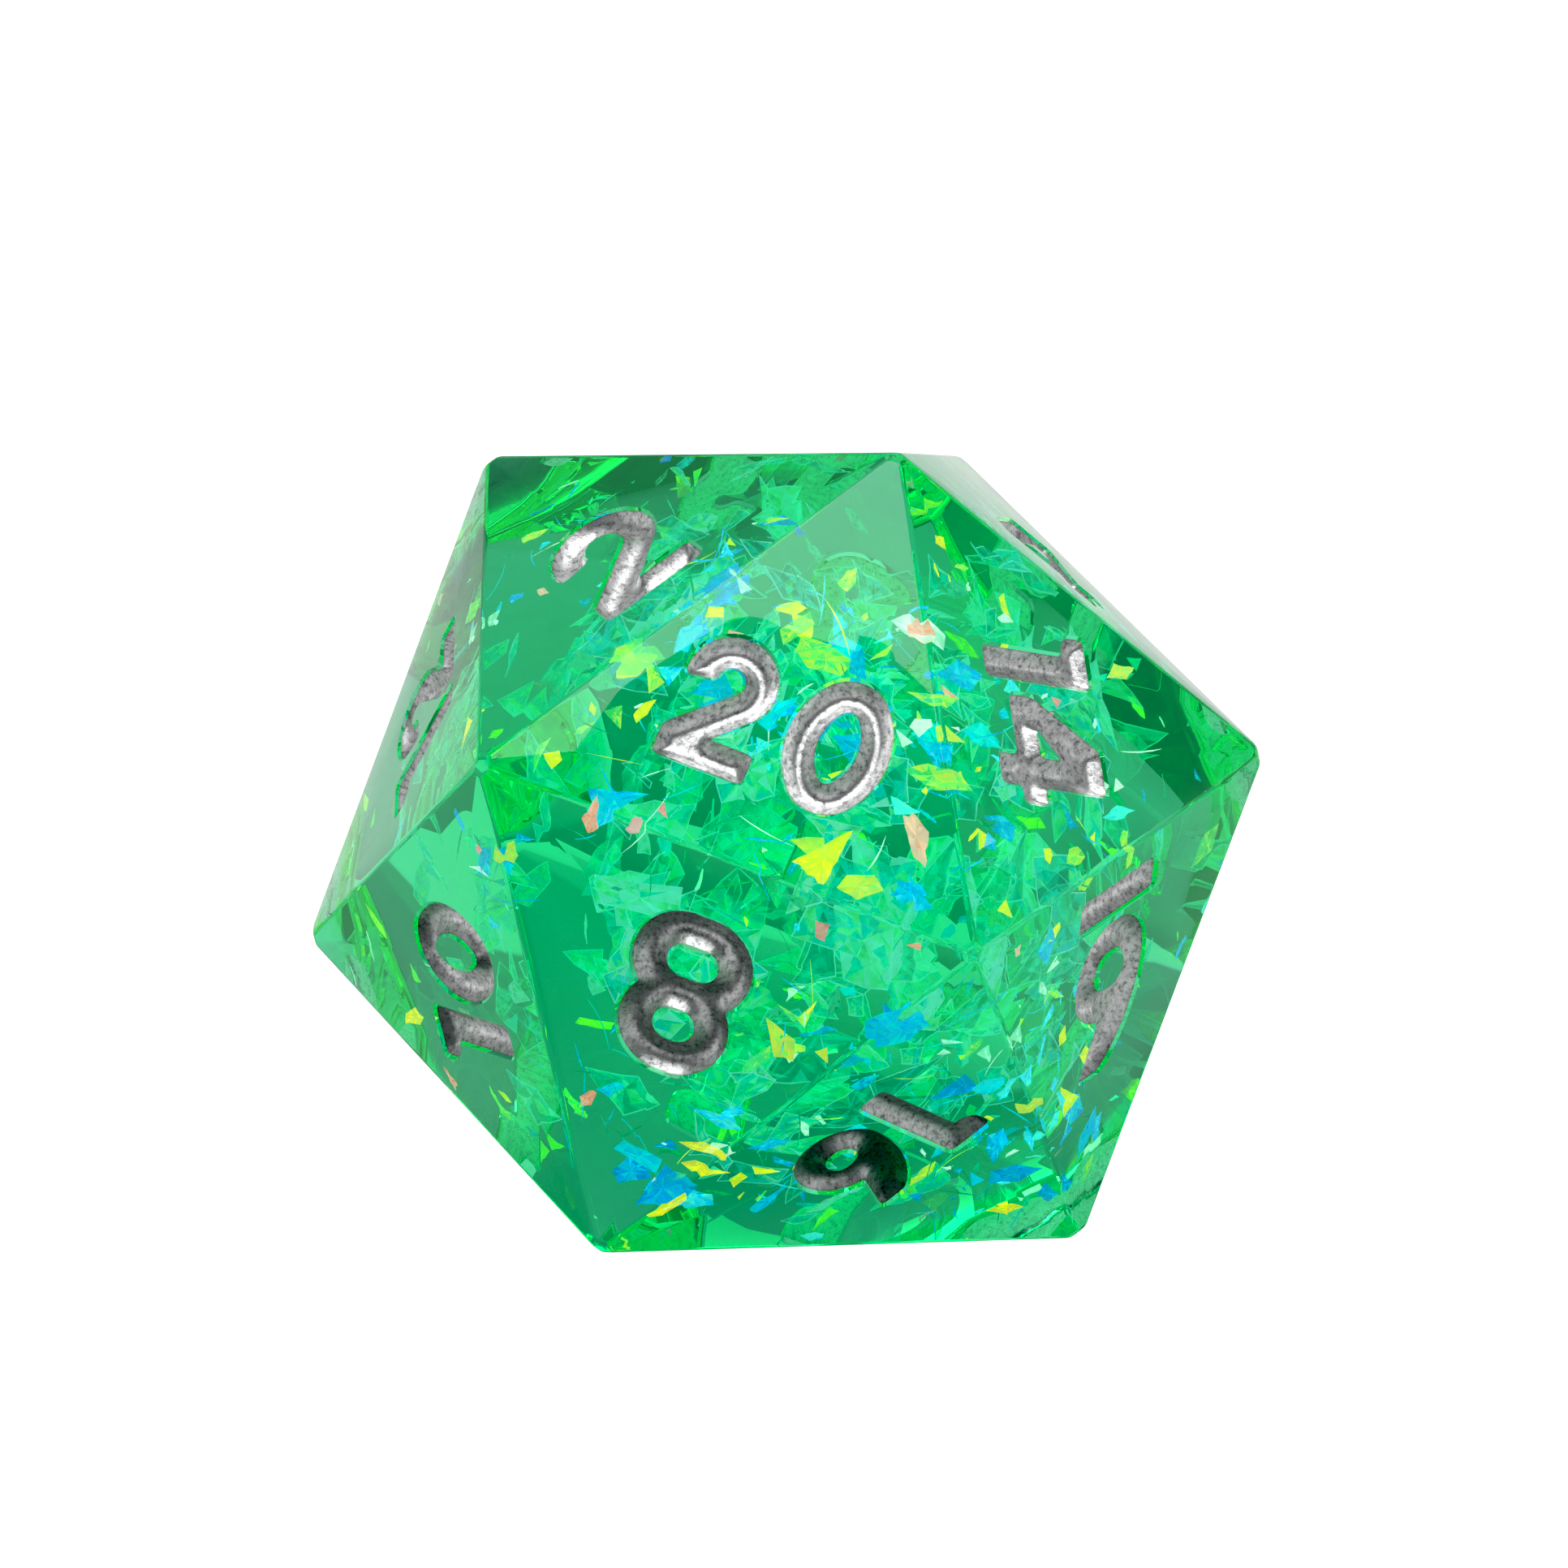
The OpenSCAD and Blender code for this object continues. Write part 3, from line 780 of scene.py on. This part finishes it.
def build_wide_film():
    """Wide pieces of nearly clear film, with a rim that shows more than the rest."""
    rng = random.Random("wide film")
    shape = Shape()
    for _ in range(WIDE_FILMS):
        out = any_way(rng).normalized()
        middle = CENTRE + out * rng.uniform(3.5, 8.2)
        if room(middle) < WIDE_ROOM or sparse(rng, middle):
            continue
        place = lie(rng, middle, out, 0.5)
        length = rng.uniform(1.0, 3.2)
        outline = chip_outline(rng, length, length * rng.uniform(0.4, 0.9))
        crumpled(
            shape, place, outline, rng, 0.22, thick=0.02, ragged=CHIP_RAGGED, step=0.6, rim=0.035
        )
    return shape


# ---- Materials ----


def grey(level):
    return (level, level, level)


def greys(*stops):
    """Ramp stops of grey, from pairs of place and level."""
    return [(place, grey(level)) for place, level in stops]


class Nodes:
    """A material's node tree, with short ways to add to it."""

    def __init__(self, name):
        self.material = bpy.data.materials.new(name)
        self.material.use_nodes = True
        self.tree = self.material.node_tree
        self.shader = self.tree.nodes["Principled BSDF"]
        self.output = self.tree.nodes["Material Output"]

    def add(self, kind, **inputs):
        """A new node with those values on its inputs."""
        node = self.tree.nodes.new(kind)
        for key, value in inputs.items():
            node.inputs[key].default_value = value
        return node

    def set(self, **values):
        """Values on the shader's own inputs."""
        for key, value in values.items():
            self.shader.inputs[key.replace("_", " ")].default_value = value

    def link(self, a, out, b, into):
        self.tree.links.new(a.outputs[out], b.inputs[into])

    def ramp(self, source, out, stops):
        """Colours by an output's value."""
        node = self.add("ShaderNodeValToRGB")
        elements = node.color_ramp.elements
        while len(elements) < len(stops):
            elements.new(0.5)
        for element, (place, colour) in zip(elements, stops):
            element.position = place
            element.color = (*colour, 1)
        self.link(source, out, node, "Fac")
        return node

    def noise(self, scale, detail=4, rough=0.55):
        where = self.add("ShaderNodeTexCoord")
        node = self.add("ShaderNodeTexNoise", Scale=scale, Detail=detail, Roughness=rough)
        self.link(where, "Object", node, "Vector")
        return node

    def times(self, a, b):
        """Two colours multiplied."""
        node = self.add("ShaderNodeMixRGB", Fac=1)
        node.blend_type = "MULTIPLY"
        self.link(a, "Color", node, "Color1")
        self.link(b, "Color", node, "Color2")
        return node

    def bump(self, source, out, strength, height):
        node = self.add("ShaderNodeBump", Strength=strength, Distance=height)
        self.link(source, out, node, "Height")
        self.link(node, "Normal", self.shader, "Normal")

    def attribute(self, name):
        node = self.add("ShaderNodeAttribute")
        node.attribute_name = name
        return node


def resin_material():
    """Clear tinted resin. A faint inner glow stands in for the light that film dust scatters."""
    m = Nodes("resin")
    m.set(Base_Color=(0.93, 1, 0.96, 1), Roughness=0.0, IOR=1.5)
    m.set(Transmission_Weight=1.0)
    volume = m.add("ShaderNodeVolumeAbsorption", Color=(0.0, 0.955, 0.62, 1), Density=150.0)
    # Painted glow: emission inside the resin lifts its dark parts
    painted_inner_glow = m.add("ShaderNodeEmission", Color=(0.0, 1.0, 0.6, 1), Strength=3.2)
    both = m.add("ShaderNodeAddShader")
    m.link(volume, "Volume", both, 0)
    m.link(painted_inner_glow, "Emission", both, 1)
    m.link(both, "Shader", m.output, "Volume")
    waves = m.noise(260, 2)
    m.bump(waves, "Fac", 0.05, 0.00002)
    return m.material


def paint_material():
    """Grainy silver, darkened toward its top edge at the groove's rim with painted shade. Its
    hidden side is dull, with a painted greenish glow.
    """
    m = Nodes("silver_paint")
    grain = m.noise(6500, 4, 0.75)
    blotch = m.noise(1500, 3)
    wear = m.attribute("wear")
    # cover is painted shade: the paint is darkest at its top edge, along the groove's rim
    cover = m.ramp(wear, "Fac", greys((0.0, 0.5), (0.1, 0.85), (0.8, 0.92)))
    metal = m.ramp(wear, "Fac", greys((0.82, 1), (0.97, 0)))
    m.link(metal, "Color", m.shader, "Metallic")
    # Painted glow: a faint greenish light on the paint's hidden side, seen through the resin
    glow = m.ramp(wear, "Fac", [(0.85, grey(0)), (0.98, (0.5, 0.8, 0.6))])
    m.link(glow, "Color", m.shader, "Emission Color")
    m.set(Emission_Strength=0.25)
    spots = m.ramp(grain, "Fac", greys((0.34, 0.3), (0.5, 0.95), (0.64, 1.2)))
    patch = m.ramp(blotch, "Fac", greys((0.3, 0.8), (0.7, 1.05)))
    colour = m.times(m.times(cover, spots), patch)
    m.link(colour, "Color", m.shader, "Base Color")
    rough = m.ramp(grain, "Fac", greys((0.35, 0.38), (0.7, 0.26)))
    m.link(rough, "Color", m.shader, "Roughness")
    m.bump(grain, "Fac", 0.45, 0.000025)
    return m.material


# The darker and the lighter tone of each hue of film
FILM_TONES = {
    "yellow": ((0.98, 0.83, 0.02), (0.75, 0.95, 0.05)),
    "lime": ((0.12, 0.85, 0.2), (0.85, 0.95, 0.1)),
    "peach": ((1.0, 0.3, 0.2), (1.0, 0.66, 0.48)),
    "pink": ((1.0, 0.26, 0.3), (1.0, 0.58, 0.56)),
    "cyan": ((0.0, 0.5, 1.0), (0.1, 1.0, 0.9)),
    "blue": ((0.0, 0.28, 0.85), (0.0, 0.7, 1.0)),
    "mint": ((0.55, 0.95, 0.75), (0.85, 1.0, 0.9)),
    "green": ((0.0, 0.4, 0.14), (0.05, 0.75, 0.38)),
    "teal": ((0.0, 0.42, 0.85), (0.02, 0.85, 1.0)),
}
# How strongly each hue has a painted glow, standing in for glints and the light inside the resin
GLOW = {
    "yellow": 0.5, "lime": 0.4, "peach": 0.45, "pink": 0.45, "cyan": 0.45, "blue": 0.4,
    "mint": 0.45, "green": 0.3, "teal": 0.38,
}
DRIFT = 1.2  # how far the tone slides across a facet
CLEAR_ALPHA = 0.45


def toned(m, stops):
    """Each facet's tone, shifted a little across it, and a colour for it."""
    blend = m.add("ShaderNodeMath")
    blend.operation = "MULTIPLY_ADD"
    blend.inputs[1].default_value = DRIFT
    m.link(m.noise(1800, 3), "Fac", blend, 0)
    m.link(m.attribute("tone"), "Fac", blend, 2)
    shift = m.add("ShaderNodeMath")
    shift.operation = "SUBTRACT"
    shift.inputs[1].default_value = DRIFT / 2
    m.link(blend, "Value", shift, 0)
    return shift, m.ramp(shift, "Value", stops)


def film_material(hue, glow):
    """Film whose colour slides between two tones, and thins out where the tone is dark. It has a
    painted glow in its own colour.
    """
    m = Nodes("film_" + hue)
    dark, light = FILM_TONES[hue]
    tone, colour = toned(m, [(0.15, dark), (0.85, light)])
    m.link(colour, "Color", m.shader, "Base Color")
    m.link(colour, "Color", m.shader, "Emission Color")
    fade = m.ramp(tone, "Value", greys((0.15, 0.4), (0.5, 1)))
    m.link(fade, "Color", m.shader, "Alpha")
    m.set(Emission_Strength=glow, Roughness=0.25)
    m.bump(m.noise(5000, 3), "Fac", 0.4, 0.00003)
    return m.material


def clear_film_material(alpha):
    """Nearly clear film, seen most along its edges."""
    m = Nodes("film_clear")
    tone, colour = toned(m, [
        (0.0, (0.0, 0.35, 0.3)), (0.25, (0.0, 0.65, 0.5)), (0.45, (0.0, 0.95, 0.85)),
        (0.6, (0.0, 0.75, 1.0)), (0.75, (0.25, 1.0, 0.4)), (1.0, (0.5, 1.0, 1.0)),
    ])
    cover = m.ramp(tone, "Value", greys((0.0, alpha * 0.6), (0.7, alpha), (0.98, 0.6)))
    m.link(cover, "Color", m.shader, "Alpha")
    m.link(colour, "Color", m.shader, "Base Color")
    m.link(colour, "Color", m.shader, "Emission Color")
    # A faint painted glow in the film's own colour
    m.set(Roughness=0.2, Emission_Strength=0.2)
    m.bump(m.noise(2500, 3), "Fac", 0.5, 0.00005)
    return m.material


# ---- Building the object ----


def dressed(thing, material):
    """The object with its material, carried by the die."""
    thing.data.materials.append(material)
    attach(thing, "root")
    return thing


plans = {n: trough(n) for n in NUMBERS}

body = dressed(new_object("resin", resin_body(plans), BODY_CREASE), resin_material())
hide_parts("resin_body")

silver = paint_material()
for n, plan in plans.items():
    lining = dressed(paint(n, plan), silver)
    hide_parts(f"numeral_{n:02d}")

films = {hue: film_material(hue, GLOW[hue]) for hue in FILM_TONES}
for hue, shape in build_flakes().items():
    flakes = dressed(new_object(hue + "_flakes", shape), films[hue])
    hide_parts("flakes_" + hue)

clear = clear_film_material(CLEAR_ALPHA)
shards = dressed(new_object("clear_shards", build_shards()), clear)
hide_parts("film_shards")
wide = dressed(new_object("wide_film", build_wide_film()), clear)

# Green and teal film has no CAD flakes, so its chips are new pieces with their own materials,
# carried by the die
for hue, shape in build_small_film().items():
    small = dressed(new_object(hue + "_chips", shape), films[hue])

# ---- Floor, light and camera ----

# From the die toward the side that the photograph is taken from
FRONT = (0.61, -0.79, 0.0)
FLOOR_SIDE = 6000
FLOOR_GAP = 0.02 * MM
SHADOW_STRIP_SLIMNESS = 3.8
CAMERA_LIFT = 0.92
# The softbox in front, above: place, aim, side and radiance
SOFTBOX = ((0.101, -0.13, 0.319), (0, 0, 0.01), 0.29, 2.1)
# The camera that fits the die's corners in the photograph
CAMERA_AT = (0.1646, -0.2136, 0.0181)
CAMERA_RIGHT = (0.7922, 0.6103, -0.0037)
CAMERA_UP = (-0.0118, 0.0214, 0.9997)
LENS = 242.2
BOUNCES = 24


def floor_material():
    """White when looked at. In reflections it is light grey, with a painted shadow in a dark strip
    under the die.
    """
    m = Nodes("floor")
    where = m.add("ShaderNodeTexCoord")
    turned = m.add("ShaderNodeMapping")
    turned.inputs["Rotation"].default_value = (0, 0, math.atan2(FRONT[0], -FRONT[1]))
    turned.inputs["Scale"].default_value = (SHADOW_STRIP_SLIMNESS, 1, 1)
    m.link(where, "Object", turned, "Vector")
    reach = m.add("ShaderNodeVectorMath")
    reach.operation = "LENGTH"
    m.link(turned, "Vector", reach, 0)
    speckle = m.ramp(m.noise(60, 2), "Fac", greys((0.3, 0.97), (0.7, 1.0)))
    # Painted shadow: the floor is darkest in a strip under the die
    painted_shadow_falloff = m.ramp(reach, "Value", greys((0.024, 0.06), (0.044, 0.55), (0.1, 0.65)))
    m.link(m.times(speckle, painted_shadow_falloff), "Color", m.shader, "Base Color")
    path = m.add("ShaderNodeLightPath")
    lift = m.add("ShaderNodeMath")
    lift.operation = "MULTIPLY"
    lift.inputs[1].default_value = CAMERA_LIFT
    m.link(path, "Is Camera Ray", lift, 0)
    m.link(lift, "Value", m.shader, "Emission Strength")
    m.set(Roughness=0.9, Emission_Color=(1, 1, 1, 1))
    return m.material


def build_floor():
    """A wide flat sheet just under the die."""
    half = FLOOR_SIDE / 2
    sheet = Shape()
    corners = [(-half, -half, 0), (half, -half, 0), (half, half, 0), (-half, half, 0)]
    sheet.add(corners, [(0, 1, 2, 3)], False)
    floor = new_object("floor", sheet)
    floor.location.z = cad_low.z - FLOOR_GAP
    floor.data.materials.append(floor_material())


def build_world():
    """White when looked at. In reflections, a studio: bright low down and behind, dim in front."""
    world = bpy.data.worlds.new("studio")
    bpy.context.scene.world = world
    world.use_nodes = True
    nodes, links = world.node_tree.nodes, world.node_tree.links
    nodes.clear()

    def ramp(stops):
        """Smooth levels of light, from pairs of place and level."""
        node = nodes.new("ShaderNodeValToRGB")
        node.color_ramp.interpolation = "EASE"
        elements = node.color_ramp.elements
        while len(elements) < len(stops):
            elements.new(0.5)
        for element, (place, level) in zip(elements, stops):
            element.position = place
            element.color = (*grey(level), 1)
        return node

    where = nodes.new("ShaderNodeTexCoord")
    split = nodes.new("ShaderNodeSeparateXYZ")
    links.new(where.outputs["Generated"], split.inputs["Vector"])
    height = ramp([(0.0, 0.85), (0.17, 0.8), (0.36, 0.35), (0.6, 0.25), (0.82, 0.35), (0.92, 0.6)])
    links.new(split.outputs["Z"], height.inputs["Fac"])
    facing = nodes.new("ShaderNodeVectorMath")
    facing.operation = "DOT_PRODUCT"
    facing.inputs[1].default_value = FRONT
    links.new(where.outputs["Generated"], facing.inputs[0])
    side = ramp([(0.0, 0.9), (0.3, 0.85), (0.75, 0.12), (1.0, 0.08)])
    links.new(facing.outputs["Value"], side.inputs["Fac"])
    level = nodes.new("ShaderNodeMath")
    level.operation = "MULTIPLY"
    links.new(height.outputs["Color"], level.inputs[0])
    links.new(side.outputs["Color"], level.inputs[1])
    studio = nodes.new("ShaderNodeBackground")
    links.new(level.outputs["Value"], studio.inputs["Strength"])
    seen = nodes.new("ShaderNodeBackground")
    seen.inputs["Color"].default_value = (1, 1, 1, 1)
    seen.inputs["Strength"].default_value = 1.05
    path = nodes.new("ShaderNodeLightPath")
    mix = nodes.new("ShaderNodeMixShader")
    output = nodes.new("ShaderNodeOutputWorld")
    links.new(path.outputs["Is Camera Ray"], mix.inputs["Fac"])
    links.new(studio.outputs["Background"], mix.inputs[1])
    links.new(seen.outputs["Background"], mix.inputs[2])
    links.new(mix.outputs["Shader"], output.inputs["Surface"])


def softbox(name, place, aim, size, radiance):
    """A square light of even radiance, turned toward its aim."""
    lamp = bpy.data.lights.new(name, "AREA")
    lamp.shape = "SQUARE"
    lamp.size = size
    lamp.energy = radiance * math.pi * size * size
    thing = bpy.data.objects.new(name, lamp)
    thing.location = place
    thing.rotation_mode = "QUATERNION"
    thing.rotation_quaternion = (Vector(aim) - Vector(place)).to_track_quat("-Z", "Y")
    bpy.context.scene.collection.objects.link(thing)


def build_camera():
    """The camera at the photograph's viewing angle."""
    camera = bpy.data.cameras.new("camera")
    camera.sensor_width = 36
    camera.lens = LENS
    camera.clip_start, camera.clip_end = 0.01, 20
    thing = bpy.data.objects.new("camera", camera)
    right, up = Vector(CAMERA_RIGHT), Vector(CAMERA_UP)
    turn = Matrix((right, up, right.cross(up))).transposed().to_4x4()
    thing.matrix_world = Matrix.Translation(CAMERA_AT) @ turn
    bpy.context.scene.collection.objects.link(thing)
    bpy.context.scene.camera = thing


def set_look():
    """The exposure, the darkest level, and enough bounces to see through the resin and film."""
    scene = bpy.context.scene
    scene.view_settings.view_transform = "Standard"
    scene.view_settings.exposure = 0.4
    scene.view_settings.use_curve_mapping = True
    scene.view_settings.curve_mapping.black_level = (0.015, 0.01, 0.01)
    scene.view_settings.curve_mapping.update()
    scene.cycles.max_bounces = BOUNCES
    scene.cycles.glossy_bounces = BOUNCES
    scene.cycles.transmission_bounces = BOUNCES
    scene.cycles.transparent_max_bounces = BOUNCES


build_floor()
build_world()
softbox("front_softbox", *SOFTBOX)
build_camera()
set_look()
